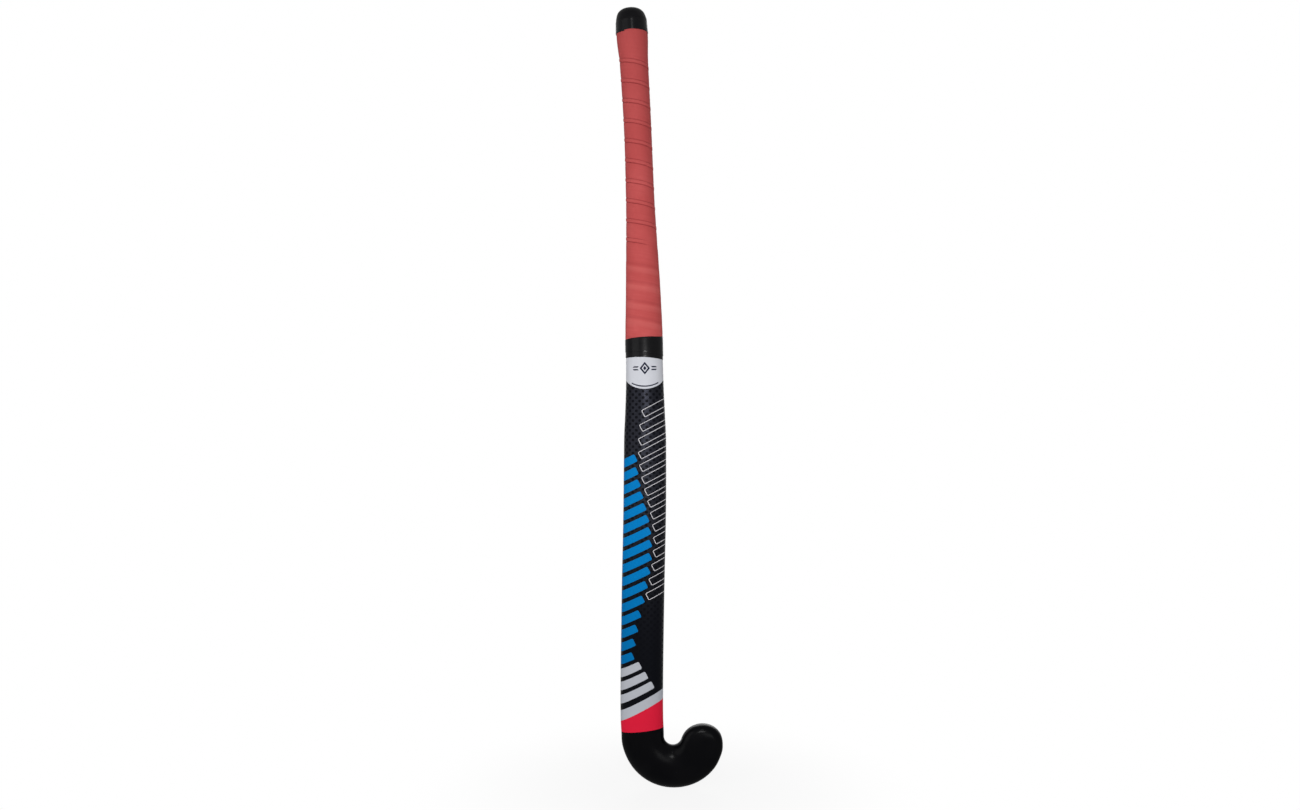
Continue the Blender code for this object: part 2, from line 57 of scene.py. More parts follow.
# The CAD's own sizes in millimetres, with heights up from the heel
SEAT_GAP = 0.3
BEND = 56.9
HEAD_SET_TO_TOE = 1.0
PRINT_LOW, PRINT_HIGH = 63.7, 475.2
FILM_THICKNESS = 0.4
GRIP_LOW, GRIP_HIGH = 493.0, 847.3
CAP_LOW, CAP_HEIGHT = 847.9, 15.6
HOOK_RADIUS, HOOK_SWEEP = 33.4, math.radians(162.0)
HEAD_SECTION = (23.5, 12.5, 8.0, 4.5)
SHAFT_INSET = 1.8
BOW_DEPTH, BOW_LOW, BOW_HIGH = 14.0, 78.7, 593.0
SPLICE_LOW, SPLICE_HIGH = 158.7, 328.7
TONGUE_TIP_HALF_WIDTH, PRONG_END_THICKNESS = 3.0, 1.8
GRIP_PITCH, GRIP_LEAD = 22.1, 22.4
GRIP_THICKNESS = 1.9
SPIGOT_RADIUS, SPIGOT_LENGTH = 4.5, 18.0

# Lower rim of the film here, which starts below the CAD's and has the head's black drawn on it
FILM_LOW = PRINT_LOW - 1.8

# Where the heel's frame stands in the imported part's frame
SHIFT = np.array((2.397, 0.0, -670.15))


def up_print(share):
    return PRINT_LOW + share * (PRINT_HIGH - PRINT_LOW)


def up_grip(share):
    return GRIP_LOW + share * (GRIP_HIGH - GRIP_LOW)


# Height, centre along X, half width, back depth, face depth, face corner
STATIONS = np.array((
    (BEND, HEAD_SET_TO_TOE, *HEAD_SECTION),
    (up_print(0.03), 0.2, 23.6, 12.5, 8.0, 4.5),
    (up_print(0.08), 0.0, 23.6, 12.5, 8.1, 5.0),
    (up_print(0.35), 1.3, 23.5, 12.6, 8.6, 6.0),
    (up_print(0.62), 3.4, 23.4, 12.8, 9.2, 7.5),
    (up_print(0.78), 3.75, 23.1, 13.0, 10.0, 9.0),
    (up_print(0.85), 3.7, 21.9, 13.2, 10.6, 10.5),
    (up_print(0.93), 3.4, 20.7, 13.6, 11.4, 12.0),
    (PRINT_HIGH, 2.9, 20.25, 14.2, 12.2, 13.5),
    (GRIP_LOW, 2.6, 20.25, 14.5, 12.6, 14.0),
    (up_grip(0.13), 1.8, 19.1, 15.0, 13.4, 13.8),
    (up_grip(0.32), -0.2, 16.95, 14.9, 13.8, 12.6),
    (up_grip(0.45), -1.8, 15.6, 14.6, 13.9, 11.6),
    (up_grip(0.65), -4.3, 15.05, 14.4, 13.9, 11.1),
    (up_grip(0.87), -8.6, 15.6, 14.8, 14.3, 11.5),
    (up_grip(0.955), -10.6, 17.2, 16.1, 15.6, 13.0),
    (GRIP_HIGH, -11.4, 16.6, 15.7, 15.2, 12.5),
    (CAP_LOW + CAP_HEIGHT, -12.6, 16.4, 15.6, 15.1, 12.3),
))


def slopes_of(heights, values):
    steps = np.diff(values) / np.diff(heights)
    slopes = [0.0]
    for before, after in zip(steps, steps[1:]):
        slopes.append(0.0 if before * after <= 0.0 else 2.0 * before * after / (before + after))
    return np.array(slopes + [steps[-1]])


SLOPES = [slopes_of(STATIONS[:, 0], STATIONS[:, i]) for i in range(6)]


def station(column, height):
    """Column of the station table on its smooth curve, for an array of heights."""
    heights, values, slopes = STATIONS[:, 0], STATIONS[:, column], SLOPES[column]
    z = np.clip(height, heights[0], heights[-1])
    i = np.clip(np.searchsorted(heights, z, side="right") - 1, 0, len(heights) - 2)
    span = heights[i + 1] - heights[i]
    t = (z - heights[i]) / span
    rise = values[i + 1] - values[i]
    start, end = slopes[i] * span, slopes[i + 1] * span
    return values[i] + t * (start + t * (3 * rise - 2 * start - end + t * (start + end - 2 * rise)))


def bow(height):
    share = np.clip((height - BOW_LOW) / (BOW_HIGH - BOW_LOW), 0.0, 1.0)
    return -BOW_DEPTH * np.sin(math.pi * share) ** 2


def lean_at(height):
    """Slope of the stick's middle line, over a millimetre about a height."""
    return station(1, height + 0.5) - station(1, height - 0.5)


class Columns:
    """Lines along the stick, from mid-face by the left edge, the back and the right edge."""

    def __init__(self, back, corner, flat):
        rows = []
        for s in np.linspace(0.0, 1.0, flat, endpoint=False):
            rows.append((-s, s, 0.0, 1.0))
        for b in np.linspace(math.pi / 2, 0.0, corner, endpoint=False):
            rows.append((-1.0, 1.0 - math.cos(b), 0.0, math.sin(b)))
        for a in np.linspace(0.0, math.pi, back, endpoint=False):
            rows.append((-math.cos(a), 0.0, -math.sin(a), 0.0))
        for b in np.linspace(0.0, math.pi / 2, corner, endpoint=False):
            rows.append((1.0, math.cos(b) - 1.0, 0.0, math.sin(b)))
        for s in np.linspace(1.0, 0.0, flat, endpoint=False):
            rows.append((s, -s, 0.0, 1.0))
        self.rows = np.array(rows)
        self.count = len(rows)
        self.left = flat + corner
        self.crest = flat + corner + back // 2
        self.right = flat + corner + back

    def section(self, sizes, index=None):
        """(across, out) for sizes (half width, back, face, corner), each a number or an array."""
        a, b, c, d = (self.rows if index is None else self.rows[index]).T
        half, back, face, corner = sizes
        return a * half + b * corner, c * back + d * face


def on_stick(columns, height, offset, index=None):
    """Points of the dressed stick moved out by an offset, at heights that fit the columns."""
    sizes = [station(i, height) + offset for i in (2, 3, 4, 5)]
    across, out = columns.section(sizes, index)
    lean = lean_at(height)
    length = np.sqrt(1.0 + lean ** 2)
    x = station(1, height) + across / length
    z = height - across * lean / length
    return np.stack([x, bow(height) + out, z], axis=-1)


def arc_map(columns, points):
    """Distance round the section in millimetres, 0 on the crest, for a grid of rings."""
    steps = np.linalg.norm(np.roll(points, -1, axis=1) - points, axis=2)
    ahead = np.concatenate([np.zeros((len(points), 1)), np.cumsum(steps, axis=1)], axis=1)
    return ahead - ahead[:, columns.crest:columns.crest + 1]


def build(name, points, faces, maps=None):
    """A mesh piece from points in millimetres, faces, and maps that give a pair for each face corner."""
    mesh = bpy.data.meshes.new(name)
    points = (np.asarray(points).reshape(-1, 3) + SHIFT) * MM
    mesh.from_pydata(points.tolist(), [], faces)
    for label, pairs in (maps or {}).items():
        layer = mesh.uv_layers.new(name=label)
        layer.uv.foreach_set("vector", np.asarray(pairs, np.float32).ravel())
    mesh.shade_smooth()
    piece = bpy.data.objects.new(name, mesh)
    bpy.context.scene.collection.objects.link(piece)
    return piece


def outward(piece):
    """Point the faces of a closed piece out."""
    work = bmesh.new()
    work.from_mesh(piece.data)
    bmesh.ops.recalc_face_normals(work, faces=work.faces)
    work.to_mesh(piece.data)
    work.free()
    return piece


def sharpen(piece, degrees):
    piece.data.set_sharp_from_angle(angle=math.radians(degrees))
    return piece


def dress(thing, look):
    thing.data.materials.clear()
    thing.data.materials.append(look)


def finish_piece(piece, look, nodes):
    dress(piece, look)
    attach(piece, "root")
    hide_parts(*nodes)


# Numbers in a material's node tree, written as arithmetic


class Wire:
    def __init__(self, tree, source):
        self.tree, self.source = tree, source

    def math(self, operation, *others):
        node = self.tree.nodes.new("ShaderNodeMath")
        node.operation = operation
        for socket, value in zip(node.inputs, (self, *others)):
            plug(self.tree, value, socket)
        return Wire(self.tree, node.outputs[0])

    def __add__(self, other):
        return self.math("ADD", other)

    def __sub__(self, other):
        return self.math("SUBTRACT", other)

    def __rsub__(self, other):
        return (self * -1.0) + other

    def __mul__(self, other):
        return self.math("MULTIPLY", other)

    def __truediv__(self, other):
        return self.math("DIVIDE", other)

    __radd__ = __add__

    def floor(self):
        return self.math("FLOOR")

    def fract(self):
        return self.math("FRACT")

    def abs(self):
        return self.math("ABSOLUTE")

    def sin(self):
        return self.math("SINE")

    def power(self, other):
        return self.math("POWER", other)

    def root(self):
        return self.math("SQRT")

    def min(self, other):
        return self.math("MINIMUM", other)

    def max(self, other):
        return self.math("MAXIMUM", other)

    def above(self, other):
        return self.math("GREATER_THAN", other)

    def below(self, other):
        return self.math("LESS_THAN", other)

    def between(self, low, high):
        return self.above(low) * self.below(high)

    def ramp(self, start, end):
        node = self.tree.nodes.new("ShaderNodeMapRange")
        node.interpolation_type = "SMOOTHSTEP"
        plug(self.tree, self, node.inputs["Value"])
        node.inputs["From Min"].default_value = start
        node.inputs["From Max"].default_value = end
        return Wire(self.tree, node.outputs["Result"])


def plug(tree, value, socket):
    if isinstance(value, Wire):
        tree.links.new(value.source, socket)
    elif isinstance(value, (tuple, list)):
        socket.default_value = (*value, 1.0)[:len(socket.default_value)]
    else:
        socket.default_value = value


def srgb(red, green, blue):
    """A colour of 0 to 255 as the render shows it, as linear numbers."""
    values = []
    for value in (red, green, blue):
        share = value / 255.0
        values.append(share / 12.92 if share <= 0.04045 else ((share + 0.055) / 1.055) ** 2.4)
    return tuple(values)


class Look:
    """A Principled material with helpers for its patterns."""

    def __init__(self, name, **constants):
        self.material = bpy.data.materials.new(name)
        self.material.use_nodes = True
        self.tree = self.material.node_tree
        self.shader = self.tree.nodes["Principled BSDF"]
        for key, value in constants.items():
            plug(self.tree, value, self.shader.inputs[key.replace("_", " ")])

    def map(self, name):
        node = self.tree.nodes.new("ShaderNodeUVMap")
        node.uv_map = name
        return self.split(node.outputs["UV"])[:2]

    def place(self):
        """Object coordinates in metres."""
        if not hasattr(self, "_place"):
            self._place = self.tree.nodes.new("ShaderNodeTexCoord").outputs["Object"]
        return self._place

    def split(self, vector):
        node = self.tree.nodes.new("ShaderNodeSeparateXYZ")
        self.tree.links.new(vector, node.inputs[0])
        return [Wire(self.tree, output) for output in node.outputs]

    def join(self, x, y, z=0.0):
        node = self.tree.nodes.new("ShaderNodeCombineXYZ")
        for socket, value in zip(node.inputs, (x, y, z)):
            plug(self.tree, value, socket)
        return node.outputs[0]

    def noise(self, scale, detail=2.0, roughness=0.5, vector=None, stretch=None, distortion=0.0):
        vector = self.place() if vector is None else vector
        if stretch is not None:
            node = self.tree.nodes.new("ShaderNodeVectorMath")
            node.operation = "MULTIPLY"
            self.tree.links.new(vector, node.inputs[0])
            node.inputs[1].default_value = stretch
            vector = node.outputs[0]
        node = self.tree.nodes.new("ShaderNodeTexNoise")
        self.tree.links.new(vector, node.inputs["Vector"])
        node.inputs["Scale"].default_value = scale
        node.inputs["Detail"].default_value = detail
        node.inputs["Roughness"].default_value = roughness
        node.inputs["Distortion"].default_value = distortion
        return Wire(self.tree, node.outputs["Fac"])

    def cells(self, scale):
        node = self.tree.nodes.new("ShaderNodeTexVoronoi")
        self.tree.links.new(self.place(), node.inputs["Vector"])
        node.inputs["Scale"].default_value = scale
        return Wire(self.tree, node.outputs["Distance"])

    def mix(self, share, first, second):
        node = self.tree.nodes.new("ShaderNodeMix")
        node.data_type = "RGBA"
        plug(self.tree, share, node.inputs[0])
        plug(self.tree, first, node.inputs[6])
        plug(self.tree, second, node.inputs[7])
        return Wire(self.tree, node.outputs[2])

    def between(self, share, first, second):
        """A number that runs from first to second."""
        return share * (second - first) + first

    def bump(self, height, distance, strength):
        node = self.tree.nodes.new("ShaderNodeBump")
        node.inputs["Strength"].default_value = strength
        node.inputs["Distance"].default_value = distance
        plug(self.tree, height, node.inputs["Height"])
        self.tree.links.new(node.outputs[0], self.shader.inputs["Normal"])

    def set(self, socket, value):
        plug(self.tree, value, self.shader.inputs[socket])


def lacquer_look():
    """Satin black lacquer with a faint orange peel."""
    look = Look("black_lacquer", Specular_IOR_Level=0.014, Coat_Weight=0.055)
    tone = look.noise(38.0, 3.0)
    look.set("Base Color", look.mix(tone.ramp(0.3, 0.7), srgb(1, 1, 3), srgb(4, 4, 6)))
    haze = look.noise(70.0, 4.0)
    look.set("Roughness", look.between(haze.ramp(0.3, 0.7), 0.3, 0.38))
    look.set("Coat Roughness", look.between(haze.ramp(0.3, 0.7), 0.15, 0.2))
    look.bump(look.noise(900.0, 2.0), 0.00006, 0.5)
    return look.material


def print_look():
    """Carbon check under lacquer, with strokes in blue, silver and white line, a red band and a badge."""
    look = Look("printed_film", Specular_IOR_Level=0.035)
    arc, height = look.map("arc")
    plan = look.map("plan")[0]

    # Check of the weave: dull dark cells in a wider net of yarn that shines a little
    cell_u, cell_v = 3.85, 3.55
    wave = (arc * (math.pi / cell_u)).sin() * (height * (math.pi / cell_v)).sin()
    net = 1.0 - wave.ramp(0.12, 0.5)
    yarn = look.noise(1.0, 2.0, vector=look.join(arc * 3.2, height * 0.5))
    cross = look.noise(1.0, 2.0, vector=look.join(arc * 0.5, height * 3.2))
    grey = look.mix(yarn.ramp(0.25, 0.75), srgb(24, 25, 29), srgb(33, 34, 40))
    ink = look.mix(cross.ramp(0.3, 0.7), srgb(3, 4, 8), srgb(8, 9, 16))
    # painted shade: the yarn's grey darkens lower down the shaft, where less of the lamps' light falls
    grey = look.mix(height.ramp(130.0, 350.0), srgb(14, 15, 19), grey)
    colour = look.mix(net, ink, grey)

    # Slanted rows of round-cornered strokes across the back, numbered up from the first
    slope = 0.52
    tilt = math.atan(slope)
    first, pitch, thickness, corner = 149.0, 14.5, 9.6, 1.7
    left_end, right_end, gap, line_width = -38.0, 35.0, 4.5, 0.74
    band_low, band_high = 87.0, 98.5
    across = height - plan * slope
    turn = (across - first) / pitch
    number = turn.floor()
    inside = turn.fract() * pitch
    reach = arc / math.cos(tilt) + (inside - thickness / 2) * math.sin(tilt)

    def stroke(left, right, low, high):
        """Distance in from the edge of the strokes of rows low to high, which run from left to right."""
        ends = (reach - left).min(right - reach)
        sides = inside.min(thickness - inside)
        short, thin = (corner - ends).max(0.0), (corner - sides).max(0.0)
        edge = corner - (short * short + thin * thin).root()
        return edge, number.between(low - 0.5, high + 0.5)

    # The filled strokes reach furthest right half way up, and the outlined ones start a gap beyond them
    swell = ((number + 0.5) * (math.pi / 16.0)).sin()
    split = swell * swell * 20.0 - 11.5
    edge, rows = stroke(left_end, split, 0, 15)
    blue = edge.above(0.0) * rows
    edge, rows = stroke(split + gap, right_end, 4, 18)
    line = edge.between(0.0, line_width) * rows
    edge, rows = stroke(left_end, number * -8.0 - 10.0, -3, -1)
    silver = (edge.above(0.0) * rows).max(across.between(band_low, band_high))
    colour = look.mix(line, colour, srgb(206, 204, 208))
    # painted shade: the blue ink darker lower down the shaft, where less of the lamps' light falls
    blue_with_painted_shade = look.mix(height.ramp(130.0, 300.0), srgb(0, 106, 169), srgb(0, 119, 188))
    colour = look.mix(blue, colour, blue_with_painted_shade)
    colour = look.mix(silver, colour, srgb(178, 181, 189))
    red = across.below(band_low)
    colour = look.mix(red, colour, srgb(216, 30, 58))

    # Badge with a round foot, and on it a plain diamond with two dashes on each side, over an arc
    badge_low, foot_depth, foot_half = 441.0, 15.0, 22.0
    badge_left, badge_right = -33.0, 24.6
    diamond_across, diamond_height = 0.3, 463.5
    foot = (1.0 - (plan / foot_half).power(2.0)).max(0.0).root()
    badge_edge = height - (badge_low + foot_depth) + foot * foot_depth
    badge = badge_edge.above(0.0) * arc.between(badge_left, badge_right)
    colour = look.mix(badge, colour, srgb(204, 206, 213))
    aside = (plan - diamond_across).abs()
    rise = (height - diamond_height).abs()
    diamond = aside * 1.25 + rise
    mark = diamond.between(4.2, 7.0).max(diamond.below(2.4))
    dash = (rise - 1.5).abs().below(0.75) * (aside + rise * 0.9).between(8.6, 14.0)
    mark = mark.max(dash).max(badge_edge.between(2.2, 3.6) * aside.below(14.5)) * badge
    colour = look.mix(mark, colour, srgb(28, 32, 52))

    # Black lacquer of the head meets the print on a slightly tilted line
    lacquer_edge, lacquer_slope = PRINT_LOW + 1.0, 0.055
    lacquer = height.below(lacquer_edge + plan * lacquer_slope)
    colour = look.mix(lacquer, colour, srgb(2, 2, 4))
    look.set("Base Color", colour)
    drawn = blue.max(line).max(silver).max(red).max(badge).max(lacquer)
    look.set("Metallic", net * (1.0 - drawn))

    haze = look.noise(60.0, 3.0)
    look.set("Roughness", look.between(haze.ramp(0.3, 0.7), 0.36, 0.44))
    relief = wave * 0.5 + look.noise(700.0, 2.0) * 0.35
    look.bump(relief, 0.00012, 0.35)
    return look.material


def grip_look():
    """Soft matt cushion tape with fine grain, painted shade in its creases and seams, painted highlights on
    the rise below seams, and painted shade towards the butt.
    """
    look = Look("red_cushion", Specular_IOR_Level=0.15)
    along, down = look.map("strip")
    # the marks map carries painted shade first and painted highlight second
    dark, light = look.map("marks")
    z = look.split(look.place())[2]
    blotch = look.noise(26.0, 3.0, 0.55)
    streak = look.noise(1.0, 3.0, vector=look.join(along * 0.035, down * 0.45))
    tone = look.mix(blotch.ramp(0.3, 0.72), srgb(186, 77, 76), srgb(198, 89, 88))
    tone = look.mix(streak.ramp(0.35, 0.75) * 0.4, tone, srgb(180, 70, 70))
    # painted shade: darker towards the butt, where less of the lamps' light falls
    tone = look.mix(z.ramp(-0.16, 0.19) * 0.8, tone, srgb(176, 72, 72))
    # painted highlight: a lighter band below the seams, where a step would catch the light
    tone = look.mix(light, tone, srgb(206, 104, 100))
    # painted shade: dark lines in the creases and seams
    tone = look.mix(dark, tone, srgb(112, 26, 34))
    look.set("Base Color", tone)
    grain = look.noise(1500.0, 3.0, 0.6)
    look.set("Roughness", look.between(grain.ramp(0.3, 0.7), 0.62, 0.8))
    pores = look.cells(1300.0)
    look.bump(grain * 0.6 + pores * 0.5, 0.00018, 0.45)
    return look.material


def tape_look():
    """Stretched vinyl tape with fine wrinkles along its length."""
    look = Look("finishing_tape", Specular_IOR_Level=0.05, Coat_Weight=0.1)
    along, down = look.map("strip")
    wrinkle = look.noise(1.0, 2.0, vector=look.join(along * 0.07, down * 0.35))
    dust = look.noise(420.0, 2.0)
    look.set("Base Color", look.mix(dust.ramp(0.35, 0.8), srgb(2, 2, 4), srgb(7, 7, 9)))
    look.set("Roughness", look.between(wrinkle.ramp(0.3, 0.75), 0.3, 0.4))
    look.set("Coat Roughness", look.between(wrinkle.ramp(0.3, 0.75), 0.14, 0.22))
    look.bump(wrinkle + look.noise(1400.0, 2.0) * 0.06, 0.00018, 0.4)
    return look.material


def cap_look():
    """Moulded rubber with a fine eroded grain."""
    look = Look("cap_rubber", Specular_IOR_Level=0.06)
    grain = look.noise(1100.0, 3.0)
    tone = look.noise(60.0, 3.0)
    look.set("Base Color", look.mix(tone.ramp(0.3, 0.75), srgb(6, 6, 8), srgb(11, 11, 13)))
    look.set("Roughness", look.between(grain.ramp(0.3, 0.7), 0.36, 0.5))
    look.bump(grain, 0.0001, 0.5)
    return look.material


def wood_look():
    """Straight-grained cane, hidden under the covers."""
    look = Look("cane_wood", Specular_IOR_Level=0.3)
    rings = look.noise(60.0, 4.0, 0.6, stretch=(1.0, 1.0, 0.04), distortion=0.3)
    fibre = look.noise(900.0, 2.0, stretch=(1.0, 1.0, 0.02))
    tone = look.mix(rings.ramp(0.3, 0.7), srgb(205, 176, 130), srgb(170, 134, 88))
    look.set("Base Color", look.mix(fibre.ramp(0.4, 0.8) * 0.4, tone, srgb(140, 104, 66)))
    look.set("Roughness", look.between(fibre.ramp(0.3, 0.7), 0.55, 0.7))
    look.bump(fibre, 0.00008, 0.4)
    return look.material


def rubber_look():
    """Plain damping rubber, hidden in the handle."""
    look = Look("damping_rubber", Specular_IOR_Level=0.4)
    grain = look.noise(800.0, 3.0)
    look.set("Base Color", look.mix(grain.ramp(0.3, 0.7), srgb(28, 28, 28), srgb(42, 42, 42)))
    look.set("Roughness", look.between(grain.ramp(0.3, 0.7), 0.7, 0.85))
    look.bump(grain, 0.0001, 0.4)
    return look.material


def glass_look():
    """Glass fibre in resin, hidden under the print."""
    look = Look("glass_fibre", Specular_IOR_Level=0.5)
    x, z = look.split(look.place())[::2]
    weave = (x * 2600.0).sin() * (z * 2600.0).sin()
    look.set("Base Color", look.mix(weave.ramp(-0.4, 0.4), srgb(190, 190, 176), srgb(206, 206, 194)))
    look.set("Roughness", look.between(weave.ramp(-0.4, 0.4), 0.4, 0.55))
    look.bump(weave, 0.00005, 0.4)
    return look.material


def smooth(value, start, end):
    t = min(max((value - start) / (end - start), 0.0), 1.0)
    return t * t * (3.0 - 2.0 * t)


# Head


def hook_rings(columns, steps):
    """Rings round the hook from its toe end to the bend, with the ring centres."""
    half, back = HEAD_SECTION[:2]
    squarer, square_from, square_to = 1.8, math.radians(85.0), math.radians(158.0)
    rings, centres = [], []
    for angle in np.linspace(HOOK_SWEEP, 0.0, steps, endpoint=False):
        across, out = columns.section(HEAD_SECTION)
        # the rounded back grows squarer towards the toe
        power = 2.0 / (2.0 + squarer * smooth(angle, square_from, square_to))
        rim = slice(columns.left, columns.right)
        across[rim] = half * np.sign(across[rim]) * np.abs(across[rim] / half) ** power
        out[rim] = -back * np.abs(out[rim] / back) ** power
        radial = np.array((-math.cos(angle), 0.0, -math.sin(angle)))
        middle = np.array((HEAD_SET_TO_TOE + HOOK_RADIUS, 0.0, BEND)) + radial * HOOK_RADIUS
        rings.append(middle - radial * across[:, None] + np.array((0.0, 1.0, 0.0)) * out[:, None])
        centres.append(middle)
    return rings, centres


def grid_faces(rows, count):
    """Faces between closed rings of count points each."""
    faces = []
    for i in range(rows - 1):
        a, b = i * count, (i + 1) * count
        for j in range(count):
            k = (j + 1) % count
            faces.append((a + j, a + k, b + k, b + j))
    return faces


def make_head():
    columns = Columns(48, 12, 8)
    rings, centres = hook_rings(columns, 72)
    for height in np.linspace(BEND, FILM_LOW, 4):
        rings.append(on_stick(columns, np.full(columns.count, height), 0.0))
    neck = np.linspace(FILM_LOW, PRINT_LOW + 10.0, 3)
    socket = np.arange(90.0, SPLICE_HIGH + 20.0, 14.0)
    for height in np.concatenate([neck, socket]):
        rings.append(on_stick(columns, np.full(columns.count, height), -SHAFT_INSET))
    points = np.array(rings)
    faces = grid_faces(len(rings), columns.count)
    faces.append(tuple(range((len(rings) - 1) * columns.count, len(rings) * columns.count)))
    blank = build("head_form", points, faces)
    work = bmesh.new()
    work.from_mesh(blank.data)
    work.verts.ensure_lookup_table()
    add_toe(work, columns, (np.array(centres[0]) + SHIFT) * MM)
    shift_foot(work)
    bmesh.ops.recalc_face_normals(work, faces=work.faces)
    work.to_mesh(blank.data)
    work.free()
    blank.data.shade_smooth()
    cutter = make_socket()
    cut = blank.modifiers.new("socket", "BOOLEAN")
    cut.operation = "DIFFERENCE"
    cut.solver = "EXACT"
    cut.object = cutter
    graph = bpy.context.evaluated_depsgraph_get()
    mesh = bpy.data.meshes.new_from_object(blank.evaluated_get(graph))
    mesh.name = "hook_head"
    head = bpy.data.objects.new("hook_head", mesh)
    bpy.context.scene.collection.objects.link(head)
    bpy.data.objects.remove(blank)
    bpy.data.objects.remove(cutter)
    mesh.shade_smooth()
    return sharpen(head, 40.0)


def shift_foot(work):
    """Move the foot of the hook a little further towards the toe, but not the toe's own end."""
    most = 0.65 * MM
    all_below, none_above = 30.0, 54.0
    fade_from, fade_to = 82.0, 91.0
    for vert in work.verts:
        low = smooth(SHIFT[2] - vert.co.z / MM, -none_above, -all_below)
        vert.co.x += most * low * (1.0 - smooth(vert.co.x / MM, fade_from, fade_to))


def add_toe(work, columns, centre):
    """Half turn of the hook's own section about the toe's centre."""
    steps = 40
    added, grow, fade = 0.052, (0.3, 0.95), (1.1, 2.3)
    crest, left, right = columns.crest, columns.left, columns.right
    count = columns.count
    outer = [j % count for j in range(crest, -1, -1)]
    inner = [j % count for j in range(crest, count)] + [0]
    middle = Vector(centre)
    ring = [work.verts[j] for j in range(count)]
    lines = [[ring[j] for j in outer]]
    for step in range(1, steps):
        angle = math.pi * step / steps
        # a little fuller on its upper outer side
        fuller = 1.0 + added * smooth(angle, *grow) * (1.0 - smooth(angle, *fade))
        turn = Matrix.Rotation(-angle, 3, "Y") @ Matrix.Diagonal((fuller, 1.0, fuller))
        made = [ring[crest]]
        for j in outer[1:-1]:
            made.append(work.verts.new(middle + turn @ (ring[j].co - middle)))
        made.append(ring[0])
        lines.append(made)
    lines.append([ring[j] for j in inner])
    for line, following in zip(lines, lines[1:]):
        for i in range(len(line) - 1):
            corners = [line[i], line[i + 1], following[i + 1], following[i]]
            unique = list(dict.fromkeys(corners))
            if len(unique) > 2:
                work.faces.new(unique)


def make_socket():
    """Prism of the handle's tongue and its gap, which the head's socket leaves free."""
    tip_x, shoulder_x = float(station(1, SPLICE_LOW)), float(station(1, SPLICE_HIGH))
    tip = TONGUE_TIP_HALF_WIDTH + SEAT_GAP
    shoulder = float(station(2, SPLICE_HIGH)) - SHAFT_INSET - PRONG_END_THICKNESS + SEAT_GAP
    low, high = SPLICE_LOW - SEAT_GAP, SPLICE_HIGH - SEAT_GAP
    reach = 60.0
    outline = ((tip_x - tip, low), (tip_x + tip, low), (shoulder_x + shoulder, high), (reach, high),
               (reach, SPLICE_HIGH + reach), (-reach, SPLICE_HIGH + reach), (-reach, high),
               (shoulder_x - shoulder, high))
    points = [(x, y, z) for y in (-reach, reach) for x, z in outline]
    count = len(outline)
    faces = [tuple(range(count)), tuple(range(2 * count - 1, count - 1, -1))]
    faces += [(i, i + count, (i + 1) % count + count, (i + 1) % count) for i in range(count)]
    return outward(build("socket_cutter", points, faces))


# Film


def collar_edge(share):
    """Height of the collar's lower edge, which sags to the right, for shares from -1, left, to 1, right."""
    return PRINT_HIGH + 0.45 - 1.65 * share ** 2 - 1.3 * share


def make_film():
    columns = Columns(96, 16, 14)
    under_collar = 2.0
    middle = [station(i, np.array(PRINT_HIGH)) for i in (2, 3, 4, 5)]
    high = collar_edge(columns.section(middle)[0] / middle[0]) + under_collar
    heights = FILM_LOW + np.linspace(0.0, 1.0, 140)[:, None] * (high - FILM_LOW)
    outer = np.array([on_stick(columns, row, 0.0) for row in heights])
    inner = np.array([on_stick(columns, row, -FILM_THICKNESS) for row in heights[::-1]])
    plan = np.array([columns.section([station(i, row) for i in (2, 3, 4, 5)]) for row in heights])
    count, total = columns.count, 2 * len(heights)
    points = np.concatenate([outer, inner]).reshape(-1, 3)
    arc = arc_map(columns, outer)
    arcs = np.concatenate([arc, arc[::-1]])
    ups = np.concatenate([heights, heights[::-1]])
    plans = np.concatenate([plan, plan[::-1]])
    faces, arc_uv, plan_uv = [], [], []
    for i in range(total):
        k = (i + 1) % total
        for j in range(count):
            n = (j + 1) % count
            faces.append((i * count + j, i * count + n, k * count + n, k * count + j))
            arc_uv += [(arcs[i, j], ups[i, j]), (arcs[i, j + 1], ups[i, n]),
                       (arcs[k, j + 1], ups[k, n]), (arcs[k, j], ups[k, j])]
            plan_uv += [plans[i, :, j], plans[i, :, n], plans[k, :, n], plans[k, :, j]]
    film = build("shaft_print", points, faces, {"arc": arc_uv, "plan": plan_uv})
    return sharpen(film, 50.0)


# Windings


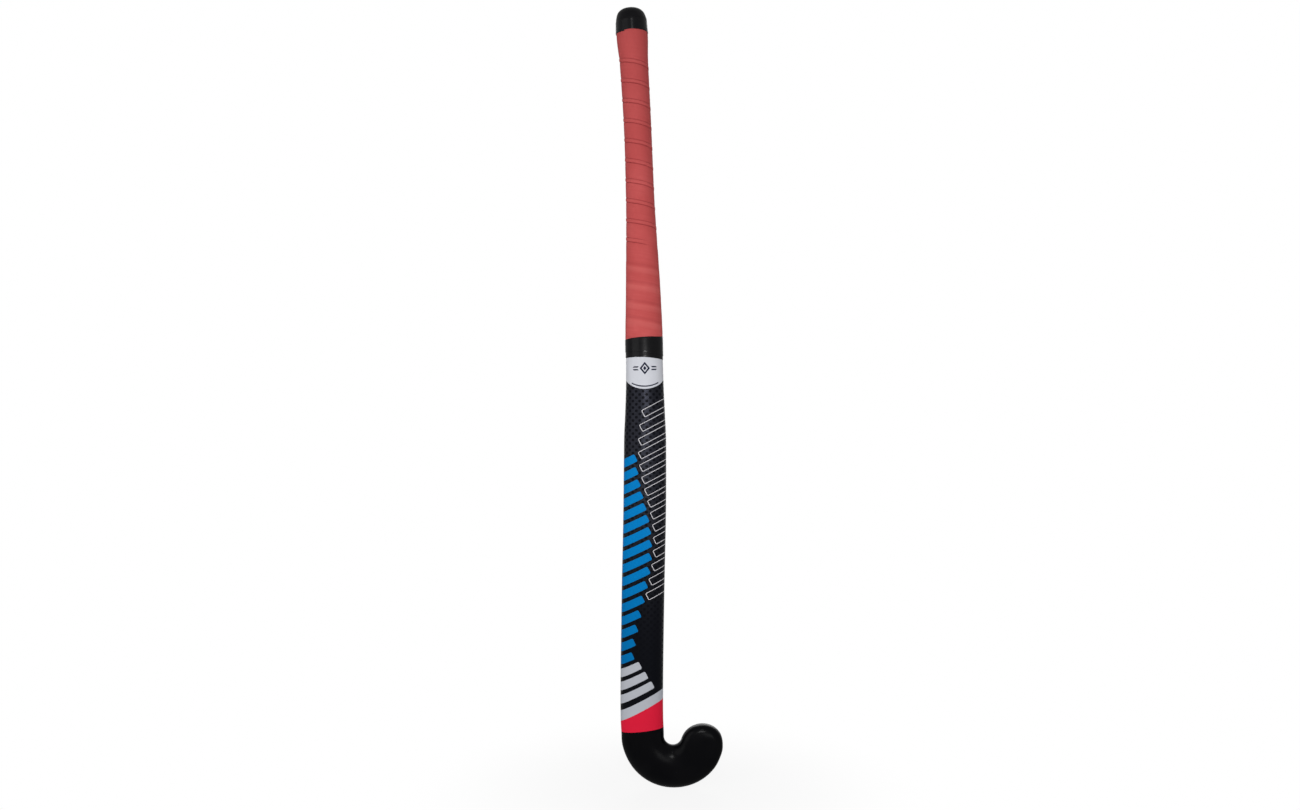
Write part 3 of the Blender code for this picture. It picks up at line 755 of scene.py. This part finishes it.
def wind(name, columns, path, profile_at, turns, first):
    """One unbroken strip wound round the stick. path gives the height of its upper edge after so many turns,
    and profile_at its section there: how far down and out each point lies, and its pair of marks of painted
    shade and painted highlight."""
    steps = int(round(turns * columns.count))
    sections, downs, alongs, marks = [], [], [], []
    travelled = 0.0
    for step in range(steps + 1):
        turn = step / columns.count
        column = (first + step) % columns.count
        profile = profile_at(turn, column)
        if profile is None:
            continue
        down, out = profile[:, 0], profile[:, 1]
        heights = path(turn, column) - down
        section = on_stick(columns, heights, out, np.full(len(heights), column))
        if sections:
            travelled += float(np.linalg.norm(section[0] - sections[-1][0]))
        sections.append(section)
        downs.append(down)
        alongs.append(travelled)
        marks.append(profile[:, 2:])
    sections = np.array(sections)
    rows, count = sections.shape[:2]
    faces, strip, painted = [], [], []
    for i in range(rows - 1):
        for j in range(count):
            n = (j + 1) % count
            faces.append((i * count + j, i * count + n, (i + 1) * count + n, (i + 1) * count + j))
            strip += [(alongs[i], downs[i][j]), (alongs[i], downs[i][n]),
                      (alongs[i + 1], downs[i + 1][n]), (alongs[i + 1], downs[i + 1][j])]
            painted += [marks[i][j], marks[i][n], marks[i + 1][n], marks[i + 1][j]]
    for end in (0, rows - 1):
        faces.append(tuple(end * count + j for j in range(count)))
        strip += [(alongs[end], downs[end][j]) for j in range(count)]
        painted += [marks[end][j] for j in range(count)]
    piece = build(name, sections, faces, {"strip": strip, "marks": painted})
    return outward(piece)


def seam_depth(turn):
    """How much the seam after so many turns shows: not at the butt or low down, in full between."""
    return smooth(turn, 2.55, 2.9) * (1.0 - smooth(turn, 12.2, 12.36))


def make_grip():
    columns = Columns(60, 12, 6)
    mean_section = (16.0, 14.6, 13.9, 11.8)
    points = np.array(columns.section(mean_section)).T
    lengths = np.linalg.norm(np.roll(points, -1, axis=0) - points, axis=1)
    shares = np.concatenate([[0.0], np.cumsum(lengths)]) / lengths.sum()
    left_share = shares[columns.left]
    rib_width, rib_foot = 4.4, 1.2
    seam, tuck, least = 0.12, 1.3, 1.6

    # The lower turns are wound a little unevenly: turns, and how far down they lie from an even winding
    uneven = np.array(((0.0, 0.0), (11.0, 0.0), (12.2, -1.2), (13.2, 0.0), (14.2, -2.3), (15.2, -3.4),
                       (16.2, -7.2), (17.2, -5.0), (19.0, -2.0)))

    def place_of(turn, column):
        """Turns by length round the handle, which run evenly, from turns by column."""
        return math.floor(turn + 1e-9) + (shares[column] - left_share) % 1.0

    def edge_at(place):
        drop = float(np.interp(place, uneven[:, 0], uneven[:, 1]))
        return GRIP_HIGH + GRIP_LEAD - GRIP_PITCH * place - drop

    def path(turn, column):
        return edge_at(place_of(turn, column))

    def profile_at(turn, column):
        place = place_of(turn, column)
        upper = edge_at(place)
        full = upper - edge_at(place + 1.0) - seam
        body = full - rib_width
        high = min(upper, GRIP_HIGH)
        low = max(upper - full, GRIP_LOW)
        if high - low < least:
            return None
        above, below = seam_depth(place), seam_depth(place + 1.0)
        # painted shade and highlight of a soft step at the seams of the lower turns, which lie nearly flush
        painted_step_above, painted_step_below = smooth(place, 12.5, 12.9), smooth(place + 1.0, 12.5, 12.9)
        soft_above, soft_below = 0.02 + 0.2 * above, 0.02 + 0.2 * below
        crease, rib = 0.3 * below, 0.26 * below
        base = 0.14 + 0.24 * smooth(place, 11.5, 13.0)
        inside = -GRIP_THICKNESS
        # Down the strip, out from the handle, painted shade mark, painted highlight mark
        rows = np.array((
            (-tuck, inside, 0.0, 0.0),
            (-tuck, -1.25, 0.0, 0.0),
            (-0.1, -1.05 + (base + 1.0) * (1.0 - above), 0.5 * above, 0.0),
            (0.0, base - soft_above * 1.9, 0.4 * above + 0.12 * painted_step_above, 0.0),
            (0.3, base - soft_above * 1.1, 0.2 * above + 0.1 * painted_step_above, 0.0),
            (0.75, base - soft_above * 0.35, 0.08 * painted_step_above, 0.0),
            (1.4, base - 0.04 * above, 0.04 * painted_step_above, 0.0),
            (2.4, base, 0.0, 0.12 * painted_step_above),
            (4.5, base + 0.03, 0.0, 0.4 * painted_step_above),
            (7.5, base + 0.05, 0.0, 0.3 * painted_step_above),
            (10.5, base + 0.05, 0.0, 0.0),
            (body - 4.0, base + 0.03, 0.0, 0.0),
            (body - 2.0, base, 0.0, 0.0),
            (body - 1.1, base - 0.04 * below, 0.0, 0.0),
            (body - 0.55, base - crease * 0.45, 0.05 * below, 0.0),
            (body - 0.2, base - crease * 0.95, 0.35 * below, 0.0),
            (body, base - crease * 1.1, 0.5 * below, 0.0),
            (body + 0.2, base - crease * 0.7 + rib * 0.1, 0.25 * below, 0.0),
            (body + 0.6, base - crease * 0.1 + rib * 0.65, 0.0, 0.0),
            (body + 1.2, base + rib, 0.0, 0.1 * below),
            (body + 2.2, base + rib * 1.08, 0.0, 0.15 * below),
            (full - 1.3, base + rib, 0.03 * painted_step_below, 0.1 * below),
            (full - 0.75, base + rib * 0.75 - soft_below * 0.1, 0.07 * painted_step_below, 0.0),
            (full - 0.3, base + rib * 0.25 - soft_below * 0.75, 0.2 * below + 0.12 * painted_step_below, 0.0),
            (full, base - soft_below * 1.5, 0.4 * below + 0.12 * painted_step_below, 0.0),
            (full, base - soft_below * 1.5 - 0.03 - 0.19 * below, 0.5 * below, 0.0),
            (full - 1.5, -1.0, 0.0, 0.0),
            (full - 1.6, inside, 0.0, 0.0),
            (full * 0.6, inside, 0.0, 0.0),
            (full * 0.25, inside, 0.0, 0.0),
        ))
        squeeze = (high - low) / full
        if upper > GRIP_HIGH and squeeze > 0.34:
            # the upper edge is cut off at the butt, and the rib below keeps its width
            free = body - rib_foot
            kept = (high - low - rib_width - rib_foot) / free
            drawn_in = (upper - high) + (rows[:, 0] + tuck) * kept / (1.0 + tuck / free)
            down = np.where(rows[:, 0] < free, drawn_in, rows[:, 0])
        else:
            down = (upper - high) + rows[:, 0] * squeeze
        down = np.clip(down, upper - GRIP_HIGH, upper - GRIP_LOW)
        rows[:, 0] = down + np.arange(len(down)) * 1e-4
        return rows

    turns = (GRIP_HIGH - GRIP_LOW + GRIP_LEAD + GRIP_PITCH - seam) / GRIP_PITCH
    grip = wind("grip_tape", columns, path, profile_at, turns, columns.left)
    return sharpen(grip, 70.0)


def tape_profile(width, inner, thick, rounding=0.45):
    """Thin rounded strip."""
    top, soft = inner + thick, thick * rounding
    rows = [(0.0, inner), (0.0, top - soft), (0.12, top - soft * 0.35), (0.35, top)]
    rows += [(share * width, top) for share in (0.12, 0.25, 0.38, 0.5, 0.62, 0.75, 0.88)]
    rows += [(width - 0.35, top), (width - 0.12, top - soft * 0.35), (width, top - soft)]
    rows += [(width, inner), (width * 0.66, inner), (width * 0.33, inner)]
    return np.array([(down, out, 0.0, 0.0) for down, out in rows])


def make_lower_tape():
    columns = Columns(72, 14, 8)
    width, thick, layer, clearance = 18.0, 0.3, 0.36, 0.05
    lap_from, lap_to = 1.0, 1.13
    turns, first = 1.85, 8
    sizes = [station(i, np.array(PRINT_HIGH)) for i in (2, 3, 4, 5)]
    share = columns.section(sizes)[0] / sizes[0]
    edge = collar_edge(share)
    even = PRINT_HIGH - share ** 2 - 0.35 * share

    def path(turn, column):
        return even[column] + width + 2.6 * smooth(turn, lap_from, lap_to) + 6.5 * max(turn - 1.1, 0.0)

    def profile_at(turn, column):
        climbed = smooth(turn, 0.86, 0.96)
        low = edge[column] + (5.3 - 1.2 * share[column]) * smooth(turn, lap_from, lap_to)
        return tape_profile(path(turn, column) - low, clearance + climbed * layer, thick)

    tape = wind("lower_finish_tape", columns, path, profile_at, turns, first)
    return sharpen(tape, 60.0)


def make_upper_tape():
    columns = Columns(72, 14, 8)
    width, thick, layer, clearance = 12.3, 0.3, 0.32, 0.4
    turns = 1.22
    sizes = [station(i, np.array(GRIP_HIGH)) for i in (2, 3, 4, 5)]
    share = columns.section(sizes)[0] / sizes[0]
    end = columns.crest - int(round(columns.count * 0.095))
    first = (end - int(round(turns * columns.count))) % columns.count

    def path(turn, column):
        return GRIP_HIGH + 0.15 - 1.2 * smooth(turn, 0.96, turns)

    def profile_at(turn, column):
        thin = thick * (1.0 - 0.9 * smooth(turn, turns - 0.05, turns))
        lower = max(share[column], 0.0) + 0.5 * max(-share[column], 0.0)
        return tape_profile(width + lower, clearance + layer * smooth(turn, 0.86, 0.96), thin, 0.2)

    tape = wind("upper_finish_tape", columns, path, profile_at, turns, first)
    return sharpen(tape, 60.0)


# Cap


def make_cap():
    columns = Columns(64, 12, 8)
    steps = 32
    lean_left, proud, below_top = 0.6, 0.65, 0.95
    foot = CAP_LOW - 0.4
    rise = CAP_LOW + CAP_HEIGHT - below_top - foot
    base = np.array((float(station(1, foot)), float(bow(np.array(foot))), foot))
    lean = float(lean_at(foot))
    along = np.array((lean, 0.0, 1.0)) / math.hypot(lean, 1.0)
    side = np.array((along[2], 0.0, -along[0]))
    out_of = np.array((0.0, 1.0, 0.0))
    across, out = columns.section([float(station(i, foot)) + proud for i in (2, 3, 4, 5)])
    turns = np.arctan2(out, across)

    def ring(x, y, up, shift=0.0):
        return base + along * up + side * (x - shift)[:, None] + out_of * y[:, None]

    round_x, round_y = SPIGOT_RADIUS * np.cos(turns), SPIGOT_RADIUS * np.sin(turns)
    rings = [ring(round_x, round_y, -SPIGOT_LENGTH), ring(round_x, round_y, 0.0),
             ring(across * 0.98, out * 0.98, 0.0)]
    for step in range(steps):
        up = 1.0 - (1.0 - step / steps) ** 2.6
        scale = (1.0 - 0.04 * smooth(up, 0.0, 0.4)) * (1.0 - up ** 2.7) ** (1.0 / 2.6)
        rings.append(ring(across * scale, out * scale, rise * up, lean_left * up))
    flat = np.array(rings).reshape(-1, 3)
    faces = grid_faces(len(rings), columns.count)
    faces.append(tuple(range(columns.count)))
    last = (len(rings) - 1) * columns.count
    faces += [(last + j, last + (j + 1) % columns.count, len(flat)) for j in range(columns.count)]
    cap = build("butt_cap", np.concatenate([flat, [base + along * rise - side * lean_left]]), faces)
    return sharpen(outward(cap), 50.0)


# Stage, lights and camera


def make_floor():
    mesh = bpy.data.meshes.new("floor")
    low = cad_low.z - 0.0002
    reach, front = 12.0, -4.0
    back = 2.0 * reach
    corners = [(-reach, front, low), (reach, front, low), (reach, back, low), (-reach, back, low)]
    mesh.from_pydata(corners, [], [(0, 1, 2, 3)])
    floor = bpy.data.objects.new("floor", mesh)
    bpy.context.scene.collection.objects.link(floor)
    look = bpy.data.materials.new("floor_white")
    look.use_nodes = True
    tree = look.node_tree
    tree.nodes.clear()
    out = tree.nodes.new("ShaderNodeOutputMaterial")
    diffuse = tree.nodes.new("ShaderNodeBsdfDiffuse")
    diffuse.inputs["Color"].default_value = (0.82, 0.82, 0.82, 1.0)
    glow = tree.nodes.new("ShaderNodeEmission")
    glow.inputs["Strength"].default_value = 1.0
    place = tree.nodes.new("ShaderNodeTexCoord").outputs["Object"]
    parts = tree.nodes.new("ShaderNodeSeparateXYZ")
    tree.links.new(place, parts.inputs[0])
    x, y = Wire(tree, parts.outputs[0]), Wire(tree, parts.outputs[1])
    away = ((x - 0.03) * (x - 0.03) + y * y).root()
    far = away.ramp(0.05, 0.3)
    path = tree.nodes.new("ShaderNodeLightPath")
    seen = Wire(tree, path.outputs["Is Camera Ray"]).max(Wire(tree, path.outputs["Is Glossy Ray"]))
    seen = seen.max(Wire(tree, path.outputs["Is Transmission Ray"]))
    share = seen * (far * 0.12 + 0.88)
    blend = tree.nodes.new("ShaderNodeMixShader")
    tree.links.new(share.source, blend.inputs[0])
    tree.links.new(diffuse.outputs[0], blend.inputs[1])
    tree.links.new(glow.outputs[0], blend.inputs[2])
    tree.links.new(blend.outputs[0], out.inputs["Surface"])
    mesh.materials.append(look)


def make_world():
    world = bpy.data.worlds.new("studio")
    bpy.context.scene.world = world
    world.use_nodes = True
    tree = world.node_tree
    tree.nodes.clear()
    out = tree.nodes.new("ShaderNodeOutputWorld")
    light = tree.nodes.new("ShaderNodeBackground")
    light.inputs["Color"].default_value = (1.0, 1.0, 1.0, 1.0)
    light.inputs["Strength"].default_value = 0.235
    seen = tree.nodes.new("ShaderNodeBackground")
    seen.inputs["Color"].default_value = (1.0, 1.0, 1.0, 1.0)
    seen.inputs["Strength"].default_value = 1.0
    path = tree.nodes.new("ShaderNodeLightPath")
    blend = tree.nodes.new("ShaderNodeMixShader")
    shown = Wire(tree, path.outputs["Is Camera Ray"]).max(Wire(tree, path.outputs["Is Glossy Ray"]))
    shown = shown.max(Wire(tree, path.outputs["Is Transmission Ray"]))
    tree.links.new(shown.source, blend.inputs[0])
    tree.links.new(light.outputs[0], blend.inputs[1])
    tree.links.new(seen.outputs[0], blend.inputs[2])
    tree.links.new(blend.outputs[0], out.inputs["Surface"])


def add_lamp(name, place, target, width, height, power):
    lamp = bpy.data.lights.new(name, "AREA")
    lamp.shape = "RECTANGLE"
    lamp.size, lamp.size_y = width, height
    lamp.energy = power
    thing = bpy.data.objects.new(name, lamp)
    thing.location = place
    thing.visible_camera = False
    thing.rotation_mode = "QUATERNION"
    thing.rotation_quaternion = (Vector(target) - Vector(place)).to_track_quat("-Z", "Y")
    bpy.context.scene.collection.objects.link(thing)


def make_camera():
    data = bpy.data.cameras.new("camera")
    data.sensor_width = 36.0
    data.lens = 32.0
    data.clip_start, data.clip_end = 0.05, 60.0
    camera = bpy.data.objects.new("camera", data)
    camera.location = (0.0115, -1.28, -0.2468)
    camera.rotation_euler = (math.pi / 2, 0.0, 0.0)
    bpy.context.scene.collection.objects.link(camera)
    bpy.context.scene.camera = camera


lacquer = lacquer_look()
finish_piece(make_head(), lacquer, ["head"])
finish_piece(make_film(), print_look(), ["print_film"])
finish_piece(make_grip(), grip_look(), ["grip_wrap"])
tape = tape_look()
finish_piece(make_lower_tape(), tape, ["lower_tape"])
finish_piece(make_upper_tape(), tape, ["upper_tape"])
finish_piece(make_cap(), cap_look(), ["end_cap"])

rubber = rubber_look()
hidden = {"handle_core": wood_look(), "rubber_strip_back": rubber, "rubber_strip_face": rubber,
          "glass_sleeve": glass_look()}
for node, look in hidden.items():
    dress(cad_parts[node], look)

make_floor()
make_world()
middle = (0.03, 0.0, -0.24)
add_lamp("front", (0.06, -1.15, -0.13), (0.02, 0.0, -0.27), 0.24, 0.16, 4.6)
add_lamp("low", (0.32, -1.13, -0.52), (0.03, 0.0, -0.66), 0.38, 0.24, 1.25)
add_lamp("left", (-1.15, -1.25, 0.05), middle, 1.1, 1.5, 7.9)
add_lamp("above", (0.02, -1.15, 0.5), (0.0, 0.0, 0.1), 0.18, 0.25, 1.6)
add_lamp("behind", (0.2, 1.9, 0.2), middle, 1.2, 1.5, 20.0)
make_camera()
bpy.context.scene.view_settings.view_transform = "Standard"
